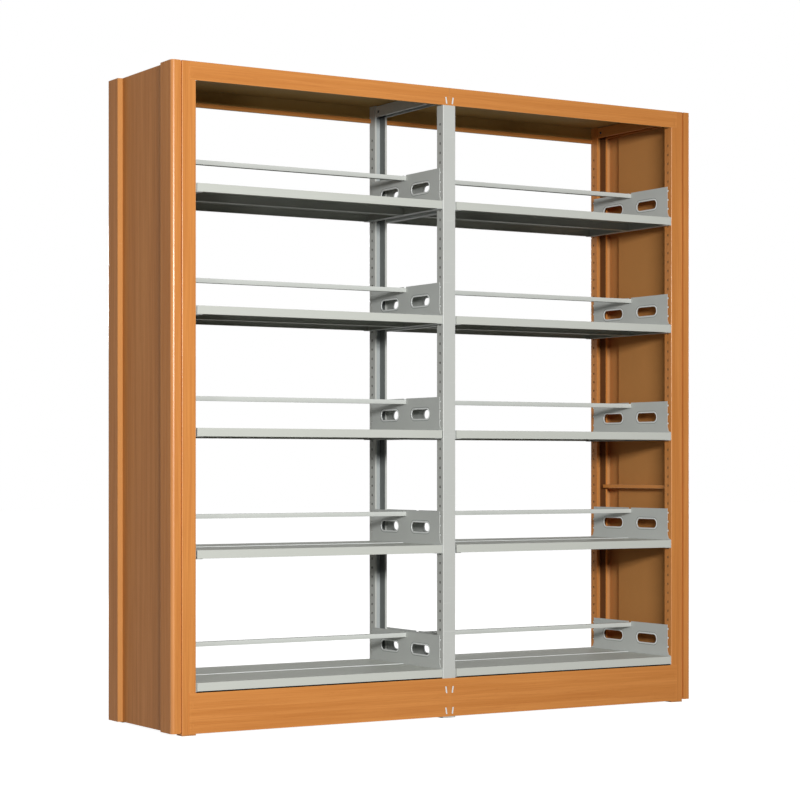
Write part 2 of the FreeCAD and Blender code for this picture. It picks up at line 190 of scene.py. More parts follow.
def close_material(
    tree: bpy.types.NodeTree, relief: dict[str | int, object], sockets: dict[str | int, object]
) -> None:
    """Close a material with its relief, its shader and its output.

    Args:
        tree: node tree that takes the nodes.
        relief: height, strength and distance of the relief.
        sockets: the shader's inputs, apart from its normal.
    """
    bump = add_node(tree, "ShaderNodeBump", relief)
    shader = add_node(tree, "ShaderNodeBsdfPrincipled", {**sockets, "Normal": bump.outputs[0]})
    add_node(tree, "ShaderNodeOutputMaterial", {"Surface": shader.outputs[0]})


# --- finishes --------------------------------------------------------------------------------


@dataclass(frozen=True)
class Streak:
    """One layer of the printed grain: its size, the noise that it shows between and its strength."""

    width: float
    length: float
    detail: float
    starts: float
    full: float
    strength: float = 1.0
    curve: str = "LINEAR"


@dataclass(frozen=True)
class WoodPrint:
    """Wood-grain print under a satin clear coat on steel: streaks of one warm hue, smooth to feel."""

    name: str
    light: str = "d9914d"
    body: str = "cc8442"
    dark: str = "b06831"
    band: Streak = Streak(21 * MM, 900 * MM, 2.0, 0.32, 0.68, curve="SMOOTHSTEP")
    # the real fibres are 0.5 to 1 mm wide and are drawn 3 mm wide, so that they show across a room
    fibre: Streak = Streak(3 * MM, 210 * MM, 3.0, 0.36, 0.7, strength=0.42)
    pore: Streak = Streak(2.2 * MM, 34 * MM, 1.0, 0.63, 0.74, strength=0.24)
    # share of the light tone over the folds, a little real wear and a painted highlight along the
    # bends
    fold_lightening: float = 0.35
    relief: float = 0.04 * MM
    roughness: float = 0.30
    roughness_spread: tuple[float, float] = (-0.05, 0.08)
    # the clear coat mirrors a little more than the bare structured powder
    gloss: float = 0.08

    def material(self, grain: Grain, surface: Surface) -> bpy.types.Material:
        """Build the print with its fibres along one axis.

        Args:
            grain: axis that the fibres run along.
            surface: flat or bend.

        Returns:
            The finished material.
        """
        material, tree = new_material(f"{self.name}_{grain.name.lower()}_{surface.name.lower()}")
        node = partial(add_node, tree)
        level, rougher = surface.value
        place = node("ShaderNodeTexCoord").outputs["Object"]
        noises, shares = [], []
        for streak in (self.band, self.fibre, self.pore):
            repeats = grain.repeats(streak.width, streak.length)
            drawn = node("ShaderNodeMapping", {"Vector": place, "Scale": repeats}).outputs[0]
            noise = node(
                "ShaderNodeTexNoise",
                {"Vector": drawn, "Scale": 1.0, "Detail": streak.detail, "Roughness": 0.55},
            ).outputs["Fac"]
            share = node(
                "ShaderNodeMapRange",
                {
                    "Value": noise,
                    "From Min": streak.starts,
                    "From Max": streak.full,
                    "To Max": streak.strength,
                },
                interpolation_type=streak.curve,
            )
            noises.append(noise)
            shares.append(share.outputs[0])
        # over the folds the print is stretched and rubbed a little thinner, and is drawn lighter as a
        # painted highlight along the bends
        fold = node("ShaderNodeAttribute", attribute_name=FOLD).outputs["Fac"]
        lightened = node("ShaderNodeMath", {0: fold, 1: self.fold_lightening}, operation="MULTIPLY").outputs[0]
        tone = linear(self.body)
        layers = zip((*shares, lightened), (self.light, self.dark, self.dark, self.light))
        for share, colour in layers:
            blend = {0: share, 6: tone, 7: linear(colour)}
            tone = node("ShaderNodeMix", blend, data_type="RGBA").outputs[2]
        fibres = noises[1]
        sheen = node(
            "ShaderNodeMapRange",
            {
                "Value": fibres,
                "To Min": self.roughness + rougher + self.roughness_spread[0],
                "To Max": self.roughness + rougher + self.roughness_spread[1],
            },
        )
        close_material(
            tree,
            {"Height": fibres, "Strength": 0.25, "Distance": self.relief},
            {
                "Base Color": tone,
                "Roughness": sheen.outputs[0],
                "IOR": 1.5,
                "Specular IOR Level": level + self.gloss,
            },
        )
        return material


@dataclass(frozen=True)
class PowderCoat:
    """Satin powder coat on steel: an even colour with a faint orange peel and a few scuffed marks."""

    name: str
    colour: str
    rub_and_highlight: str
    roughness: float = 0.38
    roughness_spread: tuple[float, float] = (-0.05, 0.07)
    # real orange peel is about 0.5 mm across and is drawn coarser so that it shows
    peel: float = 2.5 * MM
    cloud: float = 130 * MM
    scuff_width: float = 5 * MM
    scuff_length: float = 90 * MM
    scuff_wear: float = 0.35
    fold_lightening: float = 0.5
    # share of its light that the coat keeps where it lies thin
    thinnest: float = 0.965
    relief: float = 0.05 * MM

    def material(self, surface: Surface) -> bpy.types.Material:
        """Build the coat.

        Args:
            surface: flat or bend.

        Returns:
            The finished material.
        """
        material, tree = new_material(f"{self.name}_{surface.name.lower()}")
        node = partial(add_node, tree)
        level, rougher = surface.value
        place = node("ShaderNodeTexCoord").outputs["Object"]
        peel, cloud = (
            node(
                "ShaderNodeTexNoise", {"Vector": place, "Scale": 1 / size, "Detail": detail}
            ).outputs["Fac"]
            for size, detail in ((self.peel, 1.0), (self.cloud, 3.0))
        )
        # books and trolleys rub along the unit, so the marks run along the bays
        repeats = Grain.ALONG_BAYS.repeats(self.scuff_width, self.scuff_length)
        drawn = node("ShaderNodeMapping", {"Vector": place, "Scale": repeats}).outputs[0]
        scuff = node(
            "ShaderNodeTexNoise", {"Vector": drawn, "Scale": 1.0, "Detail": 2.0, "Distortion": 0.4}
        ).outputs["Fac"]
        marks = node(
            "ShaderNodeMapRange",
            {"Value": scuff, "From Min": 0.66, "From Max": 0.76, "To Max": self.scuff_wear},
        ).outputs[0]
        # over the folds the coat turns lighter, partly rubbed and partly a painted highlight along
        # the bends
        fold = node("ShaderNodeAttribute", attribute_name=FOLD).outputs["Fac"]
        edges = node("ShaderNodeMath", {0: fold, 1: self.fold_lightening}, operation="MULTIPLY").outputs[0]
        lightened = node("ShaderNodeMath", {0: marks, 1: edges}, operation="MAXIMUM").outputs[0]
        shade = node(
            "ShaderNodeMapRange",
            {"Value": cloud, "From Min": 0.3, "From Max": 0.7, "To Min": self.thinnest},
        ).outputs[0]
        coat = node(
            "ShaderNodeMix",
            {0: 1.0, 6: linear(self.colour), 7: shade},
            data_type="RGBA",
            blend_type="MULTIPLY",
        ).outputs[2]
        tone = node("ShaderNodeMix", {0: lightened, 6: coat, 7: linear(self.rub_and_highlight)}, data_type="RGBA")
        gloss = node(
            "ShaderNodeMapRange",
            {
                "Value": cloud,
                "To Min": self.roughness + rougher + self.roughness_spread[0],
                "To Max": self.roughness + rougher + self.roughness_spread[1],
            },
        )
        close_material(
            tree,
            {"Height": peel, "Strength": 0.2, "Distance": self.relief},
            {
                "Base Color": tone.outputs[2],
                "Roughness": gloss.outputs[0],
                "IOR": 1.5,
                "Specular IOR Level": level,
            },
        )
        return material


@dataclass(frozen=True)
class BlackOxide:
    """Oiled black oxide on bolts: a nearly black metal, a little browner where the oil has dried."""

    name: str = "black_oxide_steel"
    colour: str = "353432"
    dry: str = "4b4742"
    roughness: float = 0.42
    roughness_spread: tuple[float, float] = (-0.08, 0.12)
    mark: float = 1.5 * MM
    relief: float = 0.03 * MM

    def material(self) -> bpy.types.Material:
        """Build the oxide.

        Returns:
            The finished material.
        """
        material, tree = new_material(self.name)
        node = partial(add_node, tree)
        place = node("ShaderNodeTexCoord").outputs["Object"]
        marks = node(
            "ShaderNodeTexNoise", {"Vector": place, "Scale": 1 / self.mark, "Detail": 4.0}
        ).outputs["Fac"]
        blend = {0: marks, 6: linear(self.colour), 7: linear(self.dry)}
        tone = node("ShaderNodeMix", blend, data_type="RGBA")
        gloss = node(
            "ShaderNodeMapRange",
            {
                "Value": marks,
                "To Min": self.roughness + self.roughness_spread[0],
                "To Max": self.roughness + self.roughness_spread[1],
            },
        )
        close_material(
            tree,
            {"Height": marks, "Strength": 0.15, "Distance": self.relief},
            {"Base Color": tone.outputs[2], "Metallic": 1.0, "Roughness": gloss.outputs[0]},
        )
        return material


@dataclass(frozen=True)
class MouldedPlastic:
    """Moulded foot plates, and the near-black strips of painted shade: matt, with the fine texture of
    a spark-eroded mould.
    """

    name: str
    colour: str
    dusty: str
    texture: float = 1.2 * MM
    dust_patch: float = 50 / 3 * MM
    relief: float = 0.08 * MM
    roughness: float = 0.62
    gloss: float = 0.5

    def material(self) -> bpy.types.Material:
        """Build the material of the feet, and likewise that of the near-black strips of painted
        shade.

        Returns:
            The finished material.
        """
        material, tree = new_material(self.name)
        node = partial(add_node, tree)
        place = node("ShaderNodeTexCoord").outputs["Object"]
        grit, dust = (
            node(
                "ShaderNodeTexNoise", {"Vector": place, "Scale": 1 / size, "Detail": detail}
            ).outputs["Fac"]
            for size, detail in ((self.texture, 2.0), (self.dust_patch, 3.0))
        )
        blend = {0: dust, 6: linear(self.colour), 7: linear(self.dusty)}
        tone = node("ShaderNodeMix", blend, data_type="RGBA")
        close_material(
            tree,
            {"Height": grit, "Strength": 0.3, "Distance": self.relief},
            {
                "Base Color": tone.outputs[2],
                "Roughness": self.roughness,
                "IOR": 1.53,
                "Specular IOR Level": self.gloss,
            },
        )
        return material


class Palette:
    """The unit's materials, each built once, in lists that follow the order of Coat."""

    def __init__(self) -> None:
        """Build every material of the unit."""
        # the walls of the punched holes are bare cut edges, drawn darker as painted shade inside the
        # holes
        punched = self.plain("bare_punched_edge", "4f463b", "6a5f51", 0.55)
        # the print is only on the outside, over a plain brown coat that shows on the inside
        brown = self.plain("base_coat_brown", "c78b50", "cf9d68", 0.45)
        olive = self.plain("primer_olive_brown", "b59050", "bf9f68", 0.45)
        # little powder reaches the inside of a narrow channel, and the inside is drawn a little
        # darker still as painted shade
        thin_and_shaded = self.plain("thin_coat_grey", "bac0bf", "c6cac9", 0.45)
        wood = WoodPrint("wood_print_on_steel")
        self.wood = {
            grain: [*(wood.material(grain, surface) for surface in Surface), brown, punched]
            for grain in Grain
        }
        # the top boards are folded from primed sheet, and the primer shows on their undersides
        along = self.wood[Grain.ALONG_BAYS]
        self.lid = [*along[:2], olive, punched]
        # the strips on the skirts' returns are drawn near black, as painted shade of the gap under
        # the boards
        shade_strip_coat = MouldedPlastic("cellular_rubber_black", "121110", "191817", gloss=0.03)
        self.shade_strip_coat = [shade_strip_coat.material()]
        # the liners lie deep in the posts, where little coat reaches, and are drawn dark as painted
        # shade seen through the holes
        self.grey_liner = [self.plain("thin_coat_shaded_grey", "828684", "8d918f", 0.5)]
        self.brown_liner = [self.plain("thin_coat_shaded_brown", "7c5230", "8a6040", 0.5)]
        self.post = [*self.coat("powder_coat_post_grey", "c6c8c3", "d8dad6"), thin_and_shaded, punched]
        self.shelf = self.coat("powder_coat_shelf_grey", "b9bcb3", "d8dad3")
        # the pale coat is a painted highlight, on the window rims, the hook tabs, the seam tongues
        # and the boards' joint bead
        self.highlight_coat = self.plain("powder_coat_worn_pale", "e3e6e4", "ecedec", 0.35)
        # the groove grey is a painted shadow in a ring round each window rim
        self.groove_shadow = self.plain("powder_coat_groove_grey", "9ea3a0", "a9aeab", 0.5)
        bracket = self.coat("powder_coat_bracket_grey", "c6c9c5", "dadedc")
        self.bracket = [*bracket, self.highlight_coat, self.groove_shadow]
        self.bar = self.coat("powder_coat_bar_grey", "c8cbc6", "dcdfda")
        self.oxide = [BlackOxide().material()]
        self.plastic = [
            MouldedPlastic("moulded_polyamide_grey", "c3c5c1", "cdcfcb").material(),
            MouldedPlastic("moulded_polyamide_brown", "a8733c", "b28452").material(),
        ]

    @staticmethod
    def coat(name: str, colour: str, rub_and_highlight: str) -> list[bpy.types.Material]:
        """Build one powder coat for flats and for bends."""
        return [PowderCoat(name, colour, rub_and_highlight).material(surface) for surface in Surface]

    @staticmethod
    def plain(name: str, colour: str, rub_and_highlight: str, roughness: float) -> bpy.types.Material:
        """Build one powder coat for flats only."""
        return PowderCoat(name, colour, rub_and_highlight, roughness).material(Surface.FLAT)


# --- folded sheet ----------------------------------------------------------------------------


@dataclass(frozen=True)
class Bend:
    """Radii of a press-brake fold, outside and inside the sheet, and which edges are such folds."""

    outside: float = 1.1 * MM
    inside: float = 0.45 * MM
    steps: int = 2
    least_turn: float = math.radians(40)
    # a face narrower than this is the sheet's cut edge, which stays sharp
    cut_edge: float = 2.2 * MM
    shortest: float = 9 * MM


def merged_copy(node: bpy.types.Object) -> bmesh.types.BMesh:
    """Copy a CAD node's loose triangles into one welded mesh of flat faces.

    Args:
        node: the CAD node's object.

    Returns:
        The welded copy.
    """
    mesh = bmesh.new()
    mesh.from_mesh(node.data)
    bmesh.ops.remove_doubles(mesh, verts=mesh.verts, dist=WELD)
    bmesh.ops.dissolve_limit(
        mesh,
        angle_limit=FLAT_ANGLE,
        verts=mesh.verts,
        edges=mesh.edges,
        use_dissolve_boundaries=False,
    )
    return mesh


def is_fold(edge: bmesh.types.BMEdge, bend: Bend, convex: bool) -> bool:
    """Tell whether an edge is a sharp fold between two flats of the sheet.

    Args:
        edge: the edge.
        bend: the fold's radii and limits.
        convex: True for the outside of the fold, False for its inside.

    Returns:
        Whether the edge is such a fold.
    """
    length = edge.calc_length()
    if len(edge.link_faces) != 2 or length < bend.shortest or edge.is_convex is not convex:
        return False
    if edge.calc_face_angle(0.0) < bend.least_turn:
        return False
    return all(face.calc_area() / length > bend.cut_edge for face in edge.link_faces)


def bevel(
    mesh: bmesh.types.BMesh,
    edges: list[bmesh.types.BMEdge],
    radius: float,
    steps: int = 2,
    clamped: bool = False,
) -> list[bmesh.types.BMFace]:
    """Round some edges.

    Args:
        mesh: mesh that the edges belong to.
        edges: the edges.
        radius: how far the rounding starts from the edge.
        steps: facets across the rounding.
        clamped: True to hold the radius back where two roundings would meet.

    Returns:
        The new faces.
    """
    return bmesh.ops.bevel(
        mesh,
        geom=edges,
        offset=radius,
        offset_type="OFFSET",
        affect="EDGES",
        segments=steps,
        profile=0.5,
        material=-1,
        clamp_overlap=clamped,
    )["faces"]


def fold_layer(mesh: bmesh.types.BMesh) -> bmesh.types.BMLayerItem:
    """Find or make the layer that is 1 at the corners of the bends."""
    return mesh.verts.layers.float.get(FOLD) or mesh.verts.layers.float.new(FOLD)


def mark_bend(face: bmesh.types.BMFace, mark: bmesh.types.BMLayerItem) -> None:
    """Give a face the coat of the bends.

    Args:
        face: a face of a bend.
        mark: the layer of the bends.
    """
    face.material_index = Coat.BEND.value
    for vertex in face.verts:
        vertex[mark] = 1.0


def round_folds(mesh: bmesh.types.BMesh, bend: Bend) -> None:
    """Round the outside and inside of every sharp fold, and mark the rounded faces.

    Args:
        mesh: the welded mesh.
        bend: the fold's radii and limits.
    """
    mark = fold_layer(mesh)
    for convex, radius in ((True, bend.outside), (False, bend.inside)):
        edges = [edge for edge in mesh.edges if is_fold(edge, bend, convex)]
        rounded = bevel(mesh, edges, radius, bend.steps, clamped=True) if edges else []
        for face in rounded if convex else []:
            mark_bend(face, mark)


def mark_bends(mesh: bmesh.types.BMesh, widest: float = 5 * MM) -> None:
    """Mark the faces of upright bends that the CAD mesh already has.

    Args:
        mesh: the welded mesh.
        widest: a wider oblique face is a slope and not part of a bend.
    """
    mark = fold_layer(mesh)
    upright, turned = 0.05, 0.12
    for face in mesh.faces:
        across, deep, up = (abs(part) for part in face.normal)
        longest = max(edge.calc_length() for edge in face.edges)
        if up < upright and min(across, deep) > turned and face.calc_area() / longest < widest:
            mark_bend(face, mark)


def line_inside(mesh: bmesh.types.BMesh, core: Vector, nearest: float = 6 * MM) -> None:
    """Give the coat of the inside to the faces that look towards a point within the fold.

    Args:
        mesh: the welded mesh.
        core: the point.
        nearest: how far a face's plane has to be from the point.
    """
    for face in mesh.faces:
        if face.normal.dot(core - face.calc_center_median()) > nearest:
            face.material_index = Coat.INSIDE.value


def mark_punched(mesh: bmesh.types.BMesh, largest: float = 16 * MM * MM) -> None:
    """Give the walls of punched holes their own dark finish, partly bare cut edge and partly painted
    shade.

    Args:
        mesh: the welded mesh.
        largest: a face of a larger area is no hole's wall.
    """
    for face in mesh.faces:
        if face.calc_area() < largest:
            face.material_index = Coat.PUNCHED.value


def add_box(mesh: bmesh.types.BMesh, low: Vector, high: Vector) -> list[bmesh.types.BMVert]:
    """Add an upright box.

    Args:
        mesh: mesh that takes the box.
        low: its lowest corner.
        high: its highest corner.

    Returns:
        The box's vertices.
    """
    place = Matrix.Translation((low + high) / 2) @ Matrix.Diagonal((*(high - low), 1))
    return bmesh.ops.create_cube(mesh, size=1, matrix=place)["verts"]


def edges_above(mesh: bmesh.types.BMesh, height: float) -> list[bmesh.types.BMEdge]:
    """Find the edges that lie wholly above a height."""
    return [edge for edge in mesh.edges if all(vertex.co.z > height for vertex in edge.verts)]


class Piece:
    """A finished mesh of the scene: shaded, dressed, named and riding on a body."""

    def __init__(
        self, mesh: bmesh.types.BMesh, name: str, materials: list[bpy.types.Material]
    ) -> None:
        """Turn a bmesh into a shaded object at the origin.

        Args:
            mesh: the finished geometry, in its place; it is freed.
            name: the object's name.
            materials: its materials, by the faces' material index.
        """
        for edge in mesh.edges:
            edge.smooth = len(edge.link_faces) == 2 and edge.calc_face_angle(0.0) < SMOOTH_ANGLE
        for face in mesh.faces:
            face.smooth = True
        data = bpy.data.meshes.new(name)
        mesh.to_mesh(data)
        mesh.free()
        for material in materials:
            data.materials.append(material)
        self.shape = bpy.data.objects.new(name, data)
        bpy.context.scene.collection.objects.link(self.shape)
        # flats keep their own normals, so that only the bends shade round
        weighted = self.shape.modifiers.new("flat_faces_first", "WEIGHTED_NORMAL")
        weighted.keep_sharp = True

    def ride(self, body: str, nodes: Iterable[str] = ()) -> None:
        """Set the piece on its CAD body.

        Args:
            body: the CAD body's name.
            nodes: CAD nodes that the piece stands for.
        """
        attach(self.shape, body)
        if nodes:
            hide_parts(*nodes)
        LOG.info("%s rides on %s", self.shape.name, body)


@dataclass
class SubAssembly:
    """What every sub-assembly works with: the CAD nodes and the materials."""

    nodes: dict[str, bpy.types.Object]
    palette: Palette

    def folded(
        self,
        node: str,
        materials: list[bpy.types.Material],
        slot: str,
        body: str = FRAME_BODY,
        bend: Bend | None = Bend(),
        core: Vector | None = None,
        trim: Callable[[bmesh.types.BMesh], None] | None = None,
    ) -> None:
        """Show a CAD node by a copy with rounded folds.

        Args:
            node: the CAD node's name.
            materials: its materials, in the order of Coat.
            slot: not used.
            body: the CAD body that it rides on.
            bend: the folds' radii, or None where the CAD bends are already round.
            core: a point that the sheet's inside looks towards, where that has its own coat.
            trim: changes the copy further, such as by more shapes or coats.
        """
        mesh = merged_copy(self.nodes[node])
        if bend:
            round_folds(mesh, bend)
        else:
            mark_bends(mesh)
        if core:
            line_inside(mesh, core)
        if trim:
            trim(mesh)
        Piece(mesh, f"{node}_finished", materials).ride(body, [node])


# --- sub-assemblies --------------------------------------------------------------------------


@dataclass
class Uprights(SubAssembly):
    """The six lipped posts with their feet, beams and ties, and their hole liners and bolts."""

    bolt_radius: float = 4.2 * MM
    bolt_height: float = 3 * MM
    bolt_facets: int = 18
    crown_radius: float = 0.62 * 4.2 * MM
    socket_radius: float = 2 * MM
    socket_depth: float = 1.8 * MM
    bolt_from_face: float = 56 * MM
    bolt_rise: float = 16 * MM
    cover: float = 1.2 * MM
    lug_sunk: float = 1.0 * MM
    liner_inset: float = 5.7 * MM
    liner_sheet: float = 0.6 * MM
    liner_margin: float = 2.4 * MM

    def build(self) -> None:
        """Build and dress posts, feet, beams, liners and bolts."""
        for face in Face:
            for column in ("left", "middle", "right"):
                self.build_post(f"{face.value[0]}_post_{column}", column == "middle")
        across = self.palette.wood[Grain.ACROSS]
        self.folded("top_beam_middle", self.palette.post, "post")
        self.folded("bottom_beams", self.palette.post, "post")
        self.folded("top_beams_end", across, "end_frame")
        self.folded("mid_ties_end", across, "end_frame")
        moulded = Bend(outside=0.8 * MM, cut_edge=1 * MM)
        self.folded("post_feet", self.palette.plastic, "foot", bend=moulded, trim=self.tint_feet)
        self.build_liners()
        self.build_bolts()

    def build_post(self, node: str, grey: bool) -> None:
        """Build and dress one post, lined with the coat of its inside.

        Args:
            node: the post's CAD node.
            grey: True for a grey post, False for one with the wood print.
        """
        low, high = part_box(node)
        materials = self.palette.post if grey else self.palette.wood[Grain.UP]
        slot = "post" if grey else "cladding"
        self.folded(node, materials, slot, bend=None, core=(low + high) / 2, trim=self.finish_post)

    def finish_post(self, mesh: bmesh.types.BMesh) -> None:
        """Mark a post's holes and sink its lugs, which the cladding's tongues cover.

        Args:
            mesh: the post's mesh.
        """
        mark_punched(mesh)
        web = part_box("rear_skirt_left")[1].y - self.cover
        for vertex in mesh.verts:
            if abs(vertex.co.y) > web + 0.5 * self.cover:
                vertex.co.y = math.copysign(web + self.cover - self.lug_sunk, vertex.co.y)

    @staticmethod
    def tint_feet(mesh: bmesh.types.BMesh) -> None:
        """Make the middle feet grey and the end ones brown.

        Args:
            mesh: the feet's mesh.
        """
        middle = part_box("front_post_middle")[1].x * 2
        for face in mesh.faces:
            face.material_index = 0 if abs(face.calc_center_median().x) < middle else 1

    def build_liners(self) -> None:
        """Build the upright strips inside the posts that close the holes from behind, dark as painted
        shade seen through the holes.
        """
        for name, columns, coat, slot in (
            ("hole_liners_grey", ("middle",), self.palette.grey_liner, "post"),
            ("hole_liners_brown", ("left", "right"), self.palette.brown_liner, "cladding"),
        ):
            mesh = bmesh.new()
            for face in Face:
                for column in columns:
                    low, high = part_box(f"{face.value[0]}_post_{column}")
                    for wall, inward in ((low.x, 1), (high.x, -1)):
                        # an end post has holes only towards its bay
                        if column != "middle" and wall * inward > 0:
                            continue
                        inset = wall + inward * (self.liner_inset + self.liner_sheet / 2)
                        margin = Vector((0, self.liner_margin, self.liner_margin))
                        half = Vector((self.liner_sheet / 2, 0, 0))
                        near = Vector((inset, low.y, low.z)) + margin - half
                        far = Vector((inset, high.y, high.z)) - margin + half
                        add_box(mesh, near, far)
            Piece(mesh, name, coat).ride(FRAME_BODY)

    def build_bolts(self) -> None:
        """Build the button-head bolts on both sides of every top beam."""
        low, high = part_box("top_beam_middle")
        _, end_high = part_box("top_beams_end")
        half_width = (high.x - low.x) / 2
        end_column = end_high.x - half_width
        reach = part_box("front_post_middle")[0].y + self.bolt_from_face
        mesh = bmesh.new()
        for column in (-end_column, 0.0, end_column):
            for side in (-1, 1):
                for y in (reach, -reach):
                    seat = Vector((column + half_width * side, y, low.z + self.bolt_rise))
                    self.add_bolt(mesh, seat, side)
        Piece(mesh, "beam_bolts", self.palette.oxide).ride(FRAME_BODY)

    def add_bolt(self, mesh: bmesh.types.BMesh, place: Vector, side: int) -> None:
        """Add one button head with a recess for its key.

        Args:
            mesh: mesh that takes the bolt.
            place: centre of the head's seat.
            side: 1 where the head faces +X, -1 where it faces -X.
        """
        head = bmesh.ops.create_cone(
            mesh,
            cap_ends=True,
            segments=self.bolt_facets,
            radius1=self.bolt_radius,
            radius2=self.crown_radius,
            depth=self.bolt_height,
            matrix=Matrix.Translation((0, 0, self.bolt_height / 2)),
        )["verts"]
        ends = (f for f in mesh.faces if f.verts[0] in head and len(f.verts) == self.bolt_facets)
        crown = max(ends, key=lambda face: face.calc_center_median().z)
        ring = self.crown_radius - self.socket_radius
        bmesh.ops.inset_region(mesh, faces=[crown], thickness=ring)
        sunk = bmesh.ops.extrude_discrete_faces(mesh, faces=[crown])["faces"][0]
        bmesh.ops.translate(mesh, verts=sunk.verts, vec=(0, 0, -self.socket_depth))
        grown = {v for f in mesh.faces for v in f.verts if v.co.length < 2 * self.bolt_radius}
        turn = Matrix.Rotation(math.pi / 2 * side, 4, "Y")
        bmesh.ops.transform(mesh, matrix=Matrix.Translation(place) @ turn, verts=list(grown))


@dataclass
class Cladding(SubAssembly):
    """End panels, top boards and kick skirts, with their covers, strips, tongues and seam beads."""

    tongue_width: float = 4.8 * MM
    tongue_height: float = 20.8 * MM
    tongue_depth: float = 1.6 * MM
    tongue_lean: float = 1.6 * MM
    seam_offset: float = 12 * MM
    seam_width: float = 1.0 * MM
    seam_sunk: float = 0.3 * MM
    hem_height: float = 15 * MM
    hem_inset: float = 8 * MM
    core_below: float = 12 * MM
    cover_gap: float = 0.5 * MM
    cover_edge: float = 0.5 * MM
    strip_inset: float = 1 * MM
    strip_depth: float = 11 * MM
    strip_bedded: float = 0.3 * MM
    strip_gap: float = 0.5 * MM
    skirt_heights: tuple[float, float] = (23 * MM, 89 * MM)
    fascia_height: float = 1940 * MM

    def build(self) -> None:
        """Build and dress the cladding."""
        wood = self.palette.wood
        for bay in Bay:
            side, sign = bay.value
            low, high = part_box(f"end_panel_{side}")
            inner = Vector((min(abs(low.x), abs(high.x)) * sign, 0, high.z / 2))
            self.folded(f"end_panel_{side}", wood[Grain.UP], "cladding", bend=None, core=inner)
            low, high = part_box(f"top_board_{side}")
            under = Vector(((low.x + high.x) / 2, 0, low.z - self.core_below))
            top, lid = f"top_board_{side}", self.palette.lid
            self.folded(top, lid, "cladding", core=under, trim=self.print_hems)
            for face in Face:
                skirt = f"{face.value[0]}_skirt_{side}"
                low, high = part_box(skirt)
                behind = Vector(((low.x + high.x) / 2, 0, (low.z + high.z) / 2))
                self.folded(skirt, wood[Grain.ALONG_BAYS], "cladding", core=behind)
            self.build_strips(bay)
        self.build_covers()
        self.build_tongues()
        self.build_seams()

    def build_covers(self) -> None:
        """Build the narrow covers on the end frames, from the top boards out to the end panels."""
        mesh = bmesh.new()
        _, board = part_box("top_board_right")
        _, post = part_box("front_post_right")
        panel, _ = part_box("end_panel_right")
        reach = board.y - self.cover_gap
        for side in (-1, 1):
            near, far = sorted(((board.x + self.cover_gap) * side, panel.x * side))
            add_box(mesh, Vector((near, -reach, post.z)), Vector((far, reach, board.z)))
        middle = (board.z + post.z) / 2
        bevel(mesh, edges_above(mesh, middle), self.cover_edge)
        wood = self.palette.wood[Grain.ACROSS]
        Piece(mesh, "end_frame_covers", wood).ride(FRAME_BODY)

    def print_hems(self, mesh: bmesh.types.BMesh) -> None:
        """Give the hems of the fascias' returns the print, which goes round with the fold.

        Args:
            mesh: a top board's mesh.
        """
        low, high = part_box("top_board_left")
        for face in mesh.faces:
            middle = face.calc_center_median()
            if middle.z < low.z + self.hem_height and abs(middle.y) < high.y - self.hem_inset:
                face.material_index = Coat.FLAT.value

    def build_strips(self, bay: Bay) -> None:
        """Build the near-black strips on the skirts' upper returns, painted shade of the gap under
        the boards.

        Args:
            bay: the bay whose two skirts get a strip.
        """
        mesh = bmesh.new()
        for face in Face:
            sign = face.value[1]
            low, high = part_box(f"tier_1_{bay.value[0]}_{face.value[0]}_board")
            _, skirt_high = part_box(f"{face.value[0]}_skirt_{bay.value[0]}")
            outer = (high.y if sign > 0 else -low.y) - self.strip_inset
            near, far = sorted((sign * outer, sign * (outer - self.strip_depth)))
            first = Vector((low.x + self.strip_inset, near, skirt_high.z - self.strip_bedded))
            last = Vector((high.x - self.strip_inset, far, low.z - self.strip_gap))
            add_box(mesh, first, last)
        Piece(mesh, f"skirt_strips_{bay.value[0]}", self.palette.shade_strip_coat).ride(FRAME_BODY)

    def build_tongues(self) -> None:
        """Build the hook tongues at the middle seam and at the end posts."""
        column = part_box("front_post_right")[1].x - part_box("front_post_middle")[1].x
        wood = self.palette.wood[Grain.UP][:1]
        for name, places, materials, slot in (
            # the seam tongues take the pale coat, a painted highlight, and the end tongues the print
            ("seam_hooks", ((0.0, -1), (0.0, 1)), [self.palette.highlight_coat], "post"),
            ("end_hooks", ((-column, 1), (column, -1)), wood, "cladding"),
        ):
            mesh = bmesh.new()
            for x, side in places:
                for face in Face:
                    for height in (*self.skirt_heights, self.fascia_height):
                        slot_x = x + self.seam_offset * side
                        self.add_tongue(mesh, slot_x, height, side, face.value[1])
            Piece(mesh, name, materials).ride(FRAME_BODY)

    def add_tongue(
        self, mesh: bmesh.types.BMesh, x: float, height: float, side: int, face: int
    ) -> None:
        """Add one slanted tongue, flush with the cladding's face.

        Args:
            mesh: mesh that takes the tongue.
            x: the slot's centre along the bays.
            height: the slot's centre above the floor.
            side: side of the seam, which sets the slant.
            face: sign of Y of the unit's face.
        """
        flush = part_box("rear_skirt_left")[1].y * face
        middle = Vector((x, flush - face * self.tongue_depth / 2, height))
        half = Vector((self.tongue_width, self.tongue_depth, self.tongue_height)) / 2
        for vertex in add_box(mesh, middle - half, middle + half):
            vertex.co.x += self.tongue_lean * side * (1 if vertex.co.z > height else -1)

    def build_seams(self) -> None:
        """Fill the seams in the middle of top, fascias and skirts with a sunk bead."""
        mesh = bmesh.new()
        half = self.seam_width / 2
        _, board_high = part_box("top_board_left")
        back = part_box("rear_post_middle")[1].y
        face = board_high.y - self.seam_sunk
        for cover, sunk in (("top_board_left", self.seam_sunk), ("front_skirt_left", 0.0)):
            low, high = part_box(cover)
            for sign in (-1, 1):
                near, far = sorted((back * sign, face * sign))
                add_box(mesh, Vector((-half, near, low.z)), Vector((half, far, high.z - sunk)))
        lid = board_high.z - self.seam_sunk
        add_box(mesh, Vector((-half, -back, lid - self.seam_width)), Vector((half, back, lid)))
        Piece(mesh, "seam_beads", self.palette.wood[Grain.UP][2:3]).ride(FRAME_BODY)


